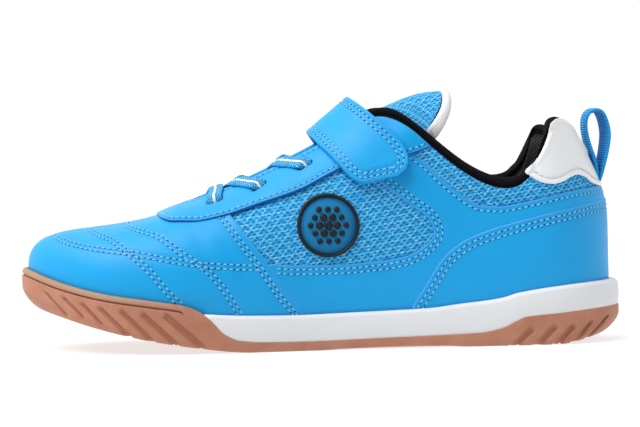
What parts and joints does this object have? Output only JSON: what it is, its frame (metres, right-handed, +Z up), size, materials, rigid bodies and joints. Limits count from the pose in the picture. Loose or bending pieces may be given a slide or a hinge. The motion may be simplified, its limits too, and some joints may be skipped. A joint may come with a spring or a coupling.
{
  "type": "indoor court shoe",
  "caption": "Low indoor court shoe for the left foot with a gum cup sole, mesh and smooth panels, elastic laces, an instep strap and a heel pull loop.",
  "frame": {"origin": "middle of the bounding box, on the floor under the sole", "axes": "+X along the shoe towards the heel, +Y towards the medial side, +Z up"},
  "size_m": [0.239, 0.0842, 0.1011],
  "materials": {
    "gum": "matt gum rubber",
    "foam": "white foam",
    "footbed": "dark fabric",
    "mesh": "blue mesh",
    "panel": "smooth blue synthetic leather",
    "tab": "white synthetic leather",
    "binding": "black knitted lining",
    "webbing": "blue woven webbing",
    "badge": "black rubber"
  },
  "bodies": {
    "root": {"outsole": "gum", "midsole": "foam", "insole": "footbed", "upper": "mesh", "vamp": "panel", "quarter_lateral": "panel", "quarter_medial": "panel", "heel_counter": "panel", "eyestay": "panel", "heel_tab": "tab", "collar_binding": "binding", "tongue": "mesh", "tongue_edge": "tab", "laces": "webbing", "strap": "panel", "pull_loop": "webbing", "badge": "badge"}
  },
  "joints": []
}
